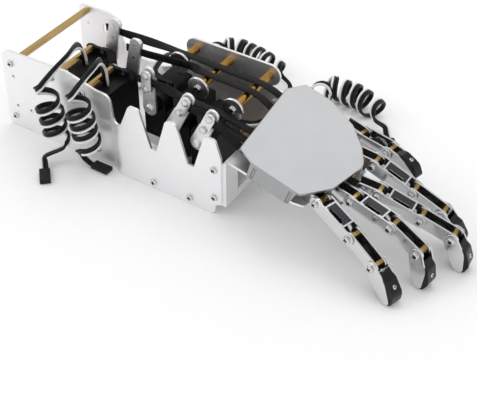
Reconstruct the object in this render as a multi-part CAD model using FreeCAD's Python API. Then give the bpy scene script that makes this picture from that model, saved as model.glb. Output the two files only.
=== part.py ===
# Five-fingered robot hand on a servo forearm, made from bent aluminium sheet, brass hexagon
# standoffs and pan head screws. Millimetres, +X towards the fingertips, +Y towards the thumb, +Z up.
# The origin lies on the underside of the base plate, and the hand rests on it and on its fingertips.
import FreeCAD, Part
import math
import os

V = FreeCAD.Vector

# Sheet and fasteners
SHEET = 2.0
FINGER_SHEET = 1.2
HEX_ACROSS = 5.0
SCREW_R = 1.5
SCREW_FIT = 0.05
HEAD_R = 2.7
HEAD_H = 1.8
HEAD_BEVEL = 0.45
FACE_GAP = 0.1

# Forearm box
REAR_X = -6.0
FRONT_X = 203.0
NEAR_REAR_Y = -37.0
NEAR_FRONT_Y = -42.0
FAR_REAR_Y = 60.0
FAR_FRONT_Y = 50.0
NEAR_STEP_X = (97.0, 113.0)
FAR_STEP_X = (62.0, 92.0)
SIDE_HEIGHT = 74.0
FAR_TOP = 65.0
FAR_TOP_END = 33.0
FAR_SADDLE = 32.0
FAR_WINDOW_X = 20.0
FAR_WINDOW_Z = 45.5
TAB_TOP = 69.0
VALLEY = 37.0
TAB_CENTRES = (127.0, 160.0, 193.5)
TAB_HALF = 4.5
TAB_FOOT = 15.0
BASE_FLANGE = 12.0
BASE_SCREW_X = (142.0, 175.0)
BASE_SCREW_Z = 6.0
REAR_SCREWS = ((4.0, 61.0), (1.0, 10.0))
MOUNT_HOLES = ((5.0, 21.0), (5.0, 49.0), (19.0, 21.0))
MOUNT_HOLE_R = 1.6

# Guide rollers along the far side
ROLLER_X = (123.0, 154.0, 190.0)
ROLLER_Z = 70.5
ROLLER_R = 3.5
ROLLER_NEAR_Y = (24.5, 4.0, -4.6)
DISC_R = 9.0
DISC_T = 2.0
DISC_BEVEL = 0.4
GUIDE_RADIUS = 9.0
GUIDE_END_X = (114.0, 199.0)
GUIDE_LEG_W = 14.0
GUIDE_LEG_X = (138.0, 172.0)
GUIDE_LEG_FOOT = 42.0

# Servo case, measured from the horn seat and the output axis
SERVO_W = 20.0
SERVO_ABOVE = 10.0
SERVO_BELOW = 30.5
SERVO_BOSS = 4.5
SERVO_EAR_AT = 14.0
SERVO_EAR_T = 2.5
SERVO_EAR = 7.0
SERVO_DEPTH = 41.0
SERVO_HOLE_R = 2.2
SERVO_HOLE_SIDE = 5.0
EAR_HOLE_OUT = 4.5

# Servo horns
ARM_LENGTH = 32.0
ARM_FOOT_R = 6.0
ARM_TOP_R = 5.0
ARM_T = 2.0
CLAMP_AT = 25.0
CLAMP_PITCH = 12.0
CLAMP_HALF_W = 4.3
CLAMP_END = 4.0
CLAMP_RING_R = 1.9
CLAMP_T = 1.6
STRAP_T = 1.2
STRAP_W = 6.6
STRAP_GAP = 0.1
TWIST = 11.0
# name, output axis X and Z, horn seat Y, side it faces, forward lean in degrees
SERVOS = {
    "little": (176.0, 51.0, -30.0, -1, 25.0),
    "ring": (149.0, 51.0, -22.0, -1, 27.0),
    "middle": (122.0, 51.0, -14.0, -1, 1.0),
    "index": (80.0, 46.0, 16.5, 1, 11.0),
    "thumb": (50.0, 48.0, 29.0, 1, 12.0),
}

# Palm
PALM_X = 215.0
PALM_Z = 48.4
PALM_PITCH = 9.04
COVER_Z = 63.7
COVER_SLOPE_X = -0.159
COVER_SLOPE_Y = 0.217
COVER_LIP = 7.5
WRIST_LIP = 3.0
BULKHEAD_X = 204.0
BULKHEAD_FOOT = 9.0
BULKHEAD_EAR = 12.0
EAR_SCREW_Z = (16.0, 42.0)

# Fingers
LINK_HEIGHT = 10.0
SPACER_L = 7.0
HINGE_HEX = 4.5
RUN_GAP = 0.25
PROXIMAL = 33.5
MIDDLE = 25.2
TIP_REACH = 29.0
THUMB_LINK = 27.0
BRACKET_L = 16.0
HINGE_CLEAR = 7.0
WEB_END = 3.5
WEB_SLOT = 3.6
STRAP_LOW = -3.1
STRAP_HIGH = 1.2
STRAP_LIFT = ((0.2, STRAP_LOW + 0.4), (0.38, STRAP_HIGH), (0.62, STRAP_HIGH), (0.8, STRAP_LOW + 0.4))
# knuckle point, splay, then the bend of each hinge, in degrees
FINGERS = {
    "little": (V(279.0, -32.0, 43.8), -15.8, (10.2, 5.6, 18.5)),
    "ring": (V(297.0, -17.0, 43.5), -8.0, (0.2, 15.0, 47.5)),
    "middle": (V(309.0, -2.5, 44.2), 5.0, (8.3, 0.5, 45.0)),
    "index": (V(295.0, 18.0, 50.5), 0.5, (12.6, 0.5, 27.2)),
    "thumb": (V(269.0, 47.5, 45.4), -13.0, (-9.0, 12.0)),
}
STRAP_WRIST = {
    "little": V(214.0, -27.5, 56.6),
    "ring": V(214.0, -19.5, 58.6),
    "middle": V(214.0, -11.0, 60.6),
    "index": V(214.0, 14.0, 66.0),
    "thumb": V(214.0, 27.0, 68.4),
}

INNER_HALF = SPACER_L / 2 + FINGER_SHEET
OUTER_IN = INNER_HALF + RUN_GAP
OUTER_HALF = OUTER_IN + FINGER_SHEET
HALF_H = LINK_HEIGHT / 2
BORE_R = SCREW_R + SCREW_FIT


def moved(shape, frame):
    """A copy of a shape, carried into a frame."""
    out = shape.copy()
    out.Placement = frame.multiply(out.Placement)
    return out


def shift(x, y, z):
    return FreeCAD.Placement(V(x, y, z), FreeCAD.Rotation())


def turn(axis, degrees):
    return FreeCAD.Placement(V(0, 0, 0), FreeCAD.Rotation(axis, degrees))


def rounded_face(corners, plane):
    """A flat face whose outline is straight lines joined by tangent arcs."""
    wires = []
    count = len(corners)
    points = [V(c[0], c[1], 0) for c in corners]
    starts = []
    for i, corner in enumerate(corners):
        here = points[i]
        back = (points[i - 1] - here).normalize()
        ahead = (points[(i + 1) % count] - here).normalize()
        radius = corner[2]
        half = back.getAngle(ahead) / 2
        if radius <= 0 or half > math.pi / 2 - 0.01:
            starts.append((here, None, here))
            continue
        reach = radius / math.tan(half)
        toward = (back + ahead).normalize()
        middle = here + toward * (radius / math.sin(half) - radius)
        starts.append((here + back * reach, middle, here + ahead * reach))
    for i in range(count):
        first, middle, last = starts[i]
        if middle is not None:
            wires.append(Part.Arc(first, middle, last).toShape())
        following = starts[(i + 1) % count][0]
        if (following - last).Length > 1e-6:
            wires.append(Part.LineSegment(last, following).toShape())
    face = Part.Face(Part.Wire(wires))
    return moved(face, plane)


# Sketch planes: XZ seen from the near side, and XY seen from above
XZ = turn(V(1, 0, 0), 90)
XY = turn(V(0, 0, 1), 0)


def side_slab(corners, y_low, y_high):
    """A slab with an XZ outline, between two Y values."""
    face = moved(rounded_face(corners, XZ), shift(0, y_low, 0))
    return face.extrude(V(0, y_high - y_low, 0))


def rod_y(x, z, y_low, y_high, radius):
    return Part.makeCylinder(radius, y_high - y_low, V(x, y_low, z), V(0, 1, 0))


def hexagon_y(x, z, y_low, y_high, across):
    """A hexagon bar along Y with a flat face below."""
    corner = across / math.sqrt(3)
    points = []
    for i in range(7):
        angle = math.radians(60 * i)
        points.append(V(x + corner * math.cos(angle), y_low, z + corner * math.sin(angle)))
    return Part.Face(Part.makePolygon(points)).extrude(V(0, y_high - y_low, 0))


def pan_head(x, z, y, side, radius=HEAD_R, height=HEAD_H):
    """A bevelled screw head standing on a face at y, pointing to one side."""
    head = Part.makeCylinder(radius, height, V(x, y, z), V(0, side, 0))
    flat = [e for e in head.Edges if e.BoundBox.YLength < 1e-4]
    rim = [e for e in flat if abs(e.BoundBox.YMin - (y + side * height)) < 1e-4]
    return head.makeChamfer(height * HEAD_BEVEL, rim)


def screw_y(x, z, y, side, depth):
    """A pan head screw whose head rests on the face at y."""
    shank = rod_y(x, z, min(y, y - side * depth), max(y, y - side * depth), SCREW_R)
    return pan_head(x, z, y, side).fuse(shank)


def stepped_wall(y_rear, y_front, step, outward):
    """A tall sheet with a smooth S bend between its rear and front planes."""
    low = REAR_X - 5
    high = FRONT_X + 5
    inner = -outward * SHEET
    middle = (step[0] + step[1]) / 2
    bend = Part.BezierCurve()
    poles = [V(step[0], y_rear, 0), V(middle, y_rear, 0), V(middle, y_front, 0), V(step[1], y_front, 0)]
    bend.setPoles(poles)
    bend_back = Part.BezierCurve()
    bend_back.setPoles([p + V(0, inner, 0) for p in bend.getPoles()])
    edges = [
        Part.LineSegment(V(low, y_rear, 0), V(step[0], y_rear, 0)).toShape(),
        bend.toShape(),
        Part.LineSegment(V(step[1], y_front, 0), V(high, y_front, 0)).toShape(),
        Part.LineSegment(V(high, y_front, 0), V(high, y_front + inner, 0)).toShape(),
        Part.LineSegment(V(high, y_front + inner, 0), V(step[1], y_front + inner, 0)).toShape(),
        bend_back.toShape(),
        Part.LineSegment(V(step[0], y_rear + inner, 0), V(low, y_rear + inner, 0)).toShape(),
        Part.LineSegment(V(low, y_rear + inner, 0), V(low, y_rear, 0)).toShape(),
    ]
    return Part.Face(Part.Wire(edges)).extrude(V(0, 0, SIDE_HEIGHT + 20))


def servo_holes(name):
    """Ear hole centres used by a servo's standoffs."""
    x, z, seat, side, lean = SERVOS[name]
    top = z + SERVO_ABOVE + EAR_HOLE_OUT
    low = z - SERVO_BELOW - EAR_HOLE_OUT
    if side > 0:
        return [(x - SERVO_HOLE_SIDE, top), (x + SERVO_HOLE_SIDE, low)]
    return [(x - SERVO_HOLE_SIDE, low), (x + SERVO_HOLE_SIDE, low)]


def side_bores(y_low, y_high, near):
    """Screw holes through a side plate."""
    holes = [rod_y(x, z, y_low, y_high, BORE_R) for x, z in REAR_SCREWS]
    holes += [rod_y(x, BASE_SCREW_Z, y_low, y_high, BORE_R) for x in BASE_SCREW_X]
    holes += [rod_y(FRONT_X - BULKHEAD_EAR / 2, z, y_low, y_high, BORE_R) for z in EAR_SCREW_Z]
    holes += [rod_y(x, z, y_low, y_high, MOUNT_HOLE_R) for x, z in MOUNT_HOLES]
    for name in SERVOS:
        if near == (SERVOS[name][3] > 0):
            holes += [rod_y(x, z, y_low, y_high, BORE_R) for x, z in servo_holes(name)]
    return holes


def near_side_plate():
    corners = [(REAR_X, 0, 3), (REAR_X + 2, SIDE_HEIGHT - 2, 8), (60, SIDE_HEIGHT, 14), (88, 67, 8)]
    corners += [(101, 66, 8), (109, VALLEY, 5)]
    for i, centre in enumerate(TAB_CENTRES):
        if i > 0:
            corners.append((centre - TAB_FOOT + 1, VALLEY, 1.5))
        corners.append((centre - TAB_HALF, TAB_TOP, 3.5))
        corners.append((centre + TAB_HALF, TAB_TOP, 3.5))
        if i < 2:
            corners.append((centre + TAB_FOOT - 1, VALLEY, 1.5))
    corners += [(FRONT_X, 54, 3), (FRONT_X, 11, 2), (FRONT_X - 5, 9, 1), (FRONT_X - 6, 0, 4)]
    slab = side_slab(corners, NEAR_FRONT_Y - 1, NEAR_REAR_Y + SHEET + 1)
    wall = stepped_wall(NEAR_REAR_Y, NEAR_FRONT_Y, NEAR_STEP_X, -1).common(slab)
    return wall.cut(side_bores(NEAR_FRONT_Y - 2, NEAR_REAR_Y + SHEET + 2, True))


def far_side_plate():
    corners = [(REAR_X, 0, 3), (REAR_X + 2, FAR_TOP, 4), (FAR_TOP_END, FAR_TOP, 6)]
    corners += [(FAR_TOP_END + 11, FAR_SADDLE, 7), (66, FAR_SADDLE, 9), (98, 44, 9)]
    corners += [(108, 57, 6), (FRONT_X, 57, 4), (FRONT_X, 11, 2), (FRONT_X - 5, 9, 1), (FRONT_X - 6, 0, 4)]
    slab = side_slab(corners, FAR_FRONT_Y - SHEET - 1, FAR_REAR_Y + 1)
    wall = stepped_wall(FAR_REAR_Y, FAR_FRONT_Y, FAR_STEP_X, 1).common(slab)
    square = Part.makeBox(6, 3 * SHEET, 7, V(FAR_WINDOW_X, FAR_REAR_Y - 2 * SHEET, FAR_WINDOW_Z))
    legs = [rod_y(x, GUIDE_LEG_FOOT + 7, FAR_FRONT_Y - 9, FAR_REAR_Y + 5, BORE_R) for x in GUIDE_LEG_X]
    return wall.cut(side_bores(FAR_FRONT_Y - 9, FAR_REAR_Y + 5, False) + legs + [square])


def base_plate():
    """Floor sheet with a bent-up flange against each side plate's front half."""
    near = NEAR_FRONT_Y + SHEET
    far = FAR_FRONT_Y - SHEET
    rear_near = NEAR_REAR_Y + SHEET
    step_near = NEAR_STEP_X[1] + 1
    outline = [(REAR_X + 4, rear_near, 2), (step_near, rear_near, 1), (step_near, near, 0)]
    outline += [(FRONT_X - 8, near, 2), (FRONT_X - 8, far, 2), (REAR_X + 4, far, 2)]
    floor = rounded_face(outline, XY).extrude(V(0, 0, SHEET))
    length = FRONT_X - 18 - step_near
    wing = Part.makeBox(length, SHEET, BASE_FLANGE, V(step_near + 2, near, 0))
    far_wing = Part.makeBox(length, SHEET, BASE_FLANGE, V(step_near + 2, far - SHEET, 0))
    far_rear = Part.makeBox(56, FAR_REAR_Y - FAR_FRONT_Y, SHEET, V(REAR_X + 4, far, 0))
    body = floor.fuse([wing, far_wing, far_rear]).removeSplitter()
    holes = [rod_y(x, BASE_SCREW_Z, near - 1, far + 1, BORE_R) for x in BASE_SCREW_X]
    slots = [Part.makeBox(34, 14, 6, V(x, 0, -1)) for x in (24, 84, 144)]
    return body.cut(holes + slots)


def far_guide_plate():
    """Long plate with round ends that carries the rollers, on two legs."""
    low = GUIDE_END_X[0]
    high = GUIDE_END_X[1]
    outer = FAR_FRONT_Y - SHEET
    inner = outer - SHEET
    top = ROLLER_Z + GUIDE_RADIUS
    bottom = ROLLER_Z - GUIDE_RADIUS
    r = GUIDE_RADIUS - 0.01
    body = side_slab([(low, bottom, r), (high, bottom, r), (high, top, r), (low, top, r)], inner, outer)
    legs = []
    for x in GUIDE_LEG_X:
        half = GUIDE_LEG_W / 2
        foot = GUIDE_LEG_FOOT
        outline = [(x - half, foot, 5), (x + half, foot, 5)]
        outline += [(x + half, ROLLER_Z, 0), (x - half, ROLLER_Z, 0)]
        legs.append(side_slab(outline, inner, outer))
    holes = [rod_y(x, ROLLER_Z, inner - 1, outer + 1, BORE_R) for x in ROLLER_X]
    holes += [rod_y(x, GUIDE_LEG_FOOT + 7, inner - 1, outer + 1, BORE_R) for x in GUIDE_LEG_X]
    return body.fuse(legs).removeSplitter().cut(holes)


def guide_rollers():
    """Brass sleeves with a steel disc on the near end, each bored for its screw."""
    out = []
    face = FAR_FRONT_Y - 2 * SHEET
    for x, y in zip(ROLLER_X, ROLLER_NEAR_Y):
        sleeve = rod_y(x, ROLLER_Z, y, face, ROLLER_R)
        disc = rod_y(x, ROLLER_Z, y - DISC_T, y, DISC_R)
        edges = [e for e in disc.Edges if e.BoundBox.YLength < 1e-4]
        disc = disc.makeChamfer(DISC_BEVEL, edges)
        out += [sleeve, disc]
    return out


def servo(name):
    """Servo case: body, gear case with a round end, mounting ears and output boss."""
    x, z, seat, side, lean = SERVOS[name]
    half = SERVO_W / 2
    top = z + SERVO_ABOVE
    low = z - SERVO_BELOW

    def slab(bottom, upper, low_r, high_r, near, far):
        ends = sorted((seat - side * near, seat - side * far))
        corners = [(x - half, bottom, low_r), (x + half, bottom, low_r)]
        corners += [(x + half, upper, high_r), (x - half, upper, high_r)]
        return side_slab(corners, ends[0], ends[1])

    gear = slab(low, top, 2, half - 0.01, SERVO_BOSS, SERVO_EAR_AT)
    body = slab(low, top, 1.5, 1.5, SERVO_EAR_AT, SERVO_DEPTH)
    ears = slab(low - SERVO_EAR, top + SERVO_EAR, 2, 2, SERVO_EAR_AT, SERVO_EAR_AT + SERVO_EAR_T)
    boss_ends = sorted((seat - side * 0.6, seat - side * SERVO_BOSS))
    boss = rod_y(x, z, boss_ends[0], boss_ends[1], 6.5)
    case = body.fuse([gear, ears, boss]).removeSplitter()
    holes = []
    ear_back = SERVO_EAR_AT + SERVO_EAR_T
    hole_ends = sorted((seat - side * (SERVO_EAR_AT - 1), seat - side * (ear_back + 1)))
    for dx in (-SERVO_HOLE_SIDE, SERVO_HOLE_SIDE):
        for hz in (top + EAR_HOLE_OUT, low - EAR_HOLE_OUT):
            holes.append(rod_y(x + dx, hz, hole_ends[0], hole_ends[1], SERVO_HOLE_R))
    return case.cut(holes)


def arm_frame(name):
    """Frame on a servo's output axis, turned so that local Z runs up the arm."""
    x, z, seat, side, lean = SERVOS[name]
    return shift(x, seat, z).multiply(turn(V(0, 1, 0), lean))


def servo_horn(name):
    """Tapered arm with a round foot, its centre screw and the two clamp bores."""
    side = SERVOS[name][3]
    ends = sorted((0, side * ARM_T))
    foot = rod_y(0, 0, ends[0], ends[1], ARM_FOOT_R)
    top = rod_y(0, ARM_LENGTH, ends[0], ends[1], ARM_TOP_R)
    outline = [(-ARM_FOOT_R, 0, 0), (ARM_FOOT_R, 0, 0)]
    outline += [(ARM_TOP_R, ARM_LENGTH, 0), (-ARM_TOP_R, ARM_LENGTH, 0)]
    web = side_slab(outline, ends[0], ends[1])
    arm = foot.fuse([top, web]).removeSplitter()
    hub_ends = sorted((0, -side * 0.5))
    hub = rod_y(0, 0, hub_ends[0], hub_ends[1], 4.5)
    head = pan_head(0, 0, side * ARM_T, side, 3.6, 2.0)
    holes = [rod_y(0, CLAMP_AT + s * CLAMP_PITCH / 2, ends[0] - 1, ends[1] + 1, BORE_R) for s in (-1, 1)]
    return moved(arm.fuse([hub, head]).cut(holes), arm_frame(name))


def clamp_faces(name):
    """Distances from the horn seat to the strap's two faces and the clamp's outer face."""
    near = ARM_T + STRAP_GAP
    far = near + STRAP_T
    return near, far, far + STRAP_GAP + CLAMP_T


def horn_clamp(name):
    """Clamp plate over the strap, with two screws into the arm and their spacers."""
    side = SERVOS[name][3]
    near, far, outer = clamp_faces(name)
    plate_in = far + STRAP_GAP
    ends = sorted((side * plate_in, side * outer))
    low = CLAMP_AT - CLAMP_PITCH / 2 - CLAMP_END
    high = CLAMP_AT + CLAMP_PITCH / 2 + CLAMP_END
    w = CLAMP_HALF_W
    round_r = w - 0.1
    corners = [(-w, low, round_r), (w, low, round_r), (w, high, round_r), (-w, high, round_r)]
    plate = side_slab(corners, ends[0], ends[1])
    solids = []
    ring_ends = sorted((side * ARM_T, side * plate_in))
    for z in (CLAMP_AT - CLAMP_PITCH / 2, CLAMP_AT + CLAMP_PITCH / 2):
        plate = plate.cut(rod_y(0, z, ends[0] - 1, ends[1] + 1, BORE_R))
        solids.append(screw_y(0, z, side * outer, side, outer))
        ring = rod_y(0, z, ring_ends[0], ring_ends[1], CLAMP_RING_R)
        solids.append(ring.cut(rod_y(0, z, ring_ends[0] - 1, ring_ends[1] + 1, BORE_R)))
    solids.insert(0, plate)
    frame = arm_frame(name)
    return [moved(s, frame) for s in solids]


# Palm and finger frames
def palm_frame():
    return FreeCAD.Placement(V(PALM_X, 0, PALM_Z), FreeCAD.Rotation(V(0, 1, 0), PALM_PITCH))


def splay_frame(name):
    """Knuckle frame lying in the palm's plane."""
    knuckle, splay, bends = FINGERS[name]
    tilt = FreeCAD.Rotation(V(0, 1, 0), PALM_PITCH).multiply(FreeCAD.Rotation(V(0, 0, 1), splay))
    return FreeCAD.Placement(knuckle, tilt)


def link_frames(name):
    """Frames of a finger's links, each at its rear hinge with X along the link."""
    knuckle, splay, bends = FINGERS[name]
    lengths = (0, THUMB_LINK) if name == "thumb" else (0, PROXIMAL, MIDDLE)
    frame = splay_frame(name)
    frames = []
    for length, bend in zip(lengths, bends):
        frame = frame.multiply(shift(length, 0, 0)).multiply(turn(V(0, 1, 0), bend))
        frames.append(frame)
    return frames


def palm_height(name):
    """Height of a knuckle over the palm base's upper face, square to that face."""
    local = palm_frame().inverse().multVec(FINGERS[name][0])
    return local.z


def palm_local(x, y):
    """A point of the palm plane given by its place seen from above."""
    return (x - PALM_X) / math.cos(math.radians(PALM_PITCH)), y


def palm_base():
    """Pitched sheet under the palm, bent down at the wrist into a bulkhead with two ears."""
    plan = [(BULKHEAD_X, -37, 0), (262, -41, 4), (270, -39, 3), (271, -24, 2), (289, -22.5, 3)]
    plan += [(290, -9.6, 2), (301, -9.6, 3), (302, 4, 3), (288, 8, 3), (287, 26, 3), (263, 34, 4)]
    plan += [(262, 57, 4), (250, 57, 6), (236, 45, 6), (BULKHEAD_X, 45, 0)]
    corners = [palm_local(x, y) + (r,) for x, y, r in plan]
    sheet = moved(rounded_face(corners, XY).extrude(V(0, 0, -SHEET)), palm_frame())
    near = NEAR_FRONT_Y + SHEET
    far = FAR_FRONT_Y - SHEET
    top = PALM_Z + (PALM_X - BULKHEAD_X) * math.tan(math.radians(PALM_PITCH)) - 0.2
    wall = Part.makeBox(SHEET, far - near, top - BULKHEAD_FOOT, V(BULKHEAD_X, near, BULKHEAD_FOOT))
    ears = []
    for y in (near, far - SHEET):
        corner = V(BULKHEAD_X - BULKHEAD_EAR, y, BULKHEAD_FOOT)
        ears.append(Part.makeBox(BULKHEAD_EAR, SHEET, top - BULKHEAD_FOOT - 2, corner))
    window = side_window()
    body = sheet.fuse([wall] + ears).removeSplitter()
    holes = [rod_y(FRONT_X - BULKHEAD_EAR / 2, z, near - 1, far + 1, BORE_R) for z in EAR_SCREW_Z]
    return body.cut(holes + [window])


def side_window():
    """Lightening window in the bulkhead."""
    return Part.makeBox(6, 56, 20, V(BULKHEAD_X - 2, -24, 16))


def cover_z(x, y):
    return COVER_Z + COVER_SLOPE_X * (x - PALM_X) + COVER_SLOPE_Y * (y + 28)


def cover_frame():
    """Frame on the cover's upper face with local X and Y along its slopes."""
    along = V(1, 0, COVER_SLOPE_X).normalize()
    normal = along.cross(V(0, 1, COVER_SLOPE_Y)).normalize()
    across = normal.cross(along)
    rotation = FreeCAD.Rotation(along, across, normal, "ZXY")
    return FreeCAD.Placement(V(PALM_X, 0, cover_z(PALM_X, 0)), rotation)


COVER_PLAN = (
    (213.5, -33, 0), (226, -39, 0), (268, -43, 4), (284.5, -26, 9), (293.5, 2, 9),
    (285.5, 14, 7), (270.5, 28, 8), (247, 38.5, 6), (224, 41, 3), (214, 30, 0),
)


def cover_point(x, y):
    """Local cover coordinates of a point given by its place seen from above."""
    local = cover_frame().inverse().multVec(V(x, y, cover_z(x, y)))
    return local.x, local.y


def palm_cover():
    """Flat satin cover with a flared near lip and a turned-down wrist lip."""
    corners = [cover_point(x, y) + (r,) for x, y, r in COVER_PLAN]
    plate = rounded_face(corners, XY).extrude(V(0, 0, -SHEET))
    rear = V(*cover_point(226, -39), 0)
    front = V(*cover_point(266, -42.8), 0)
    lip = strip(rear, front, V(0, -COVER_LIP, -COVER_LIP), 4.0)
    low = V(*cover_point(213.5, -33), 0)
    high = V(*cover_point(214, 30), 0)
    wrist = strip(low, high, V(-1.5, 0, -WRIST_LIP), 0.0)
    body = plate.fuse([lip, wrist]).removeSplitter()
    holes = []
    for share in (0.12, 0.88):
        place = rear + (front - rear) * share + V(0, -COVER_LIP * 0.6, -COVER_LIP * 0.6)
        holes.append(Part.makeCylinder(1.3, 8, place + V(0, -2.5, -2.5), V(0, 1, 1)))
    return moved(body.cut(holes), cover_frame())


def strip(start, end, drop, set_in):
    """A bent lip: a sheet that hangs from the line start to end along drop."""
    run = (end - start).normalize()
    corners = [start, end, end + drop - run * set_in, start + drop + run * set_in * 0.3, start]
    face = Part.Face(Part.makePolygon(corners))
    normal = (end - start).cross(drop).normalize()
    if normal.z > 0:
        normal = normal * -1
    return face.extrude(normal * SHEET)


def bracket(name):
    """Knuckle bracket: a channel on the palm base whose cheeks carry one hinge."""
    height = palm_height(name)
    cheek = [(-BRACKET_L, -height, 0), (-BRACKET_L, HALF_H - 1, 2), (HALF_H, HALF_H, HALF_H - 0.5)]
    cheek += [(HALF_H, -HALF_H, HALF_H - 0.01), (-HINGE_CLEAR, -HALF_H, 0)]
    if height > HALF_H + 1:
        cheek.append((-HINGE_CLEAR, -height, 0))
    inner = SPACER_L / 2
    cheeks = [side_slab(cheek, -INNER_HALF, -inner), side_slab(cheek, inner, INNER_HALF)]
    web = Part.makeBox(BRACKET_L - HINGE_CLEAR - 0.5, SPACER_L, FINGER_SHEET, V(-BRACKET_L, -inner, -height))
    body = cheeks[0].fuse([cheeks[1], web]).removeSplitter()
    body = body.cut(rod_y(0, 0, -INNER_HALF - 1, INNER_HALF + 1, BORE_R))
    return moved(body, splay_frame(name))


def hinge_screws(frame, x):
    """Two pan head screws that close a hinge from both sides."""
    out = []
    for side in (-1, 1):
        face = side * (OUTER_HALF + FACE_GAP)
        out.append(moved(screw_y(x, 0, face, side, OUTER_HALF + FACE_GAP - INNER_HALF + 2), frame))
    return out


def hinge_spacer(frame, x):
    """Brass hexagon between a hinge's inner cheeks, bored for the screws."""
    half = SPACER_L / 2
    bar = hexagon_y(x, 0, -half, half, HINGE_HEX)
    bores = [rod_y(x, 0, -half - 1, -half + 2, BORE_R), rod_y(x, 0, half - 2, half + 1, BORE_R)]
    return moved(bar.cut(bores), frame)


def channel(length, inner, outer, web_z, slot_w):
    """Link bent from one sheet: round-ended cheeks and a web, slotted along the near cheek."""
    h = HALF_H
    r = h - 0.01
    cheek = [(-h, -h, r), (length + h, -h, r), (length + h, h, r), (-h, h, r)]
    cheeks = [side_slab(cheek, -outer, -inner), side_slab(cheek, inner, outer)]
    clear = HINGE_CLEAR
    web = Part.makeBox(length - 2 * clear, 2 * inner, FINGER_SHEET, V(clear, -inner, web_z))
    if slot_w > 0:
        end = WEB_END
        slot_l = length - 2 * clear - 2 * end
        slot = Part.makeBox(slot_l, slot_w, FINGER_SHEET * 3, V(clear + end, -inner, web_z - FINGER_SHEET))
        web = web.cut(slot)
    body = cheeks[0].fuse([cheeks[1], web]).removeSplitter()
    return body.cut([rod_y(x, 0, -outer - 1, outer + 1, BORE_R) for x in (0, length)])


def fingertip_outline():
    h = HALF_H
    outline = [(-h, h, h - 0.01), (13, h + 0.6, 14), (TIP_REACH, -1.5, 3)]
    return outline + [(TIP_REACH - 4, -6.5, 4), (9, -6.5, 8), (-h, -h, h - 0.01)]


def pad_outline():
    outline = [(5.6, 4.2, 1), (12, 7.2, 5), (24, 5.4, 8), (TIP_REACH + 1.2, -2.6, 3)]
    return outline + [(TIP_REACH - 4.5, -5.4, 2.5), (8, -4.6, 2), (5.6, -2, 1)]


def fingertip(inner, outer):
    """Two leaf-shaped cheeks of an end link."""
    cheeks = [side_slab(fingertip_outline(), -outer, -inner), side_slab(fingertip_outline(), inner, outer)]
    hole = rod_y(0, 0, -outer - 1, outer + 1, BORE_R)
    rivet = rod_y(15, -1.5, -outer, outer, 1.2)
    return [c.cut([hole, rivet]) for c in cheeks] + [rivet]


def fingertip_pad(inner):
    pad = side_slab(pad_outline(), -inner, inner)
    return pad.cut(rod_y(15, -1.5, -inner - 1, inner + 1, 1.2))


def strap_stations(name):
    """Points and width directions that the strap passes, from its tail to the fingertip."""
    x, z, seat, side, lean = SERVOS[name]
    near, far, outer = clamp_faces(name)
    up = V(0, 0, 1)
    across = V(0, 1, 0)
    y = seat + side * (near + far) / 2
    clamp = arm_frame(name).multVec(V(0, 0, CLAMP_AT))
    wrist = STRAP_WRIST[name]
    frames = link_frames(name)
    knuckle = splay_frame(name)
    stations = [(V(clamp.x - 9, y, clamp.z), up), (V(clamp.x + 9, y, clamp.z), up)]
    if side > 0:
        rest = ROLLER_Z + ROLLER_R + STRAP_T / 2 + 0.4
        if name == "index":
            on_edge = ROLLER_X[0] + DISC_R + 3
            flat = ROLLER_X[1] - ROLLER_R - 2
            stations.append((V(on_edge, y, rest - 0.5), up))
        else:
            flat = ROLLER_X[0] - ROLLER_R - 3
        past = ROLLER_X[2] + ROLLER_R + 1.5
        share = (flat - clamp.x) / (wrist.x - clamp.x)
        stations.append((V(flat, y + (wrist.y - y) * share, rest), across))
        share = (past - clamp.x) / (wrist.x - clamp.x)
        stations.append((V(past, y + (wrist.y - y) * share, rest), across))
    else:
        start = V(clamp.x + 9, y, clamp.z)
        if name == "middle":
            ear_top = SERVOS["little"][1] + SERVO_ABOVE + SERVO_EAR
            over = V(SERVOS["little"][0] + SERVO_W / 2 + 2, y + 2.5, ear_top + 1.6)
            stations.append((start + V(TWIST, 0, -1), up + across))
            stations.append((start + V(2 * TWIST, 0.5, -2.5), across))
            stations.append((over, across))
            start = over
        reach = wrist - start
        first = min(TWIST / reach.x, 0.45)
        if name != "middle":
            stations.append((start + reach * first, up + across))
            stations.append((start + reach * min(2 * first, 0.9), across))
    stations.append((wrist, across))
    hinge_y = knuckle.Rotation.multVec(V(0, 1, 0))
    stations.append((knuckle.multVec(V(-BRACKET_L - 6, 0, STRAP_LOW + 2.0)), hinge_y))
    stations.append((knuckle.multVec(V(-BRACKET_L + 5, 0, STRAP_LOW)), hinge_y))
    lengths = (THUMB_LINK,) if name == "thumb" else (PROXIMAL, MIDDLE)
    before = knuckle
    for frame, length in zip(frames, lengths):
        down = (before.Rotation.multVec(V(0, 0, 1)) + frame.Rotation.multVec(V(0, 0, 1))).normalize()
        stations.append((frame.Base + down * STRAP_LOW, hinge_y))
        for share, height in STRAP_LIFT:
            stations.append((frame.multVec(V(length * share, 0, height)), hinge_y))
        before = frame
    last = frames[-1]
    down = (before.Rotation.multVec(V(0, 0, 1)) + last.Rotation.multVec(V(0, 0, 1))).normalize()
    stations.append((last.Base + down * STRAP_LOW, hinge_y))
    stations.append((last.multVec(V(5.2, 0, STRAP_LOW)), hinge_y))
    return stations


def strap(name):
    """Flat tendon strap, on edge in its clamp and laid flat from the wrist on."""
    stations = strap_stations(name)
    wires = []
    for i, (point, width) in enumerate(stations):
        back = stations[max(i - 1, 0)][0]
        ahead = stations[min(i + 1, len(stations) - 1)][0]
        run = (ahead - back).normalize()
        wide = (width - run * width.dot(run)).normalize()
        thick = run.cross(wide).normalize()
        a = wide * (STRAP_W / 2)
        b = thick * (STRAP_T / 2)
        corner = point + a + b
        wires.append(Part.makePolygon([corner, point - a + b, point - a - b, point + a - b, corner]))
    return Part.makeLoft(wires, True, True)


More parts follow.
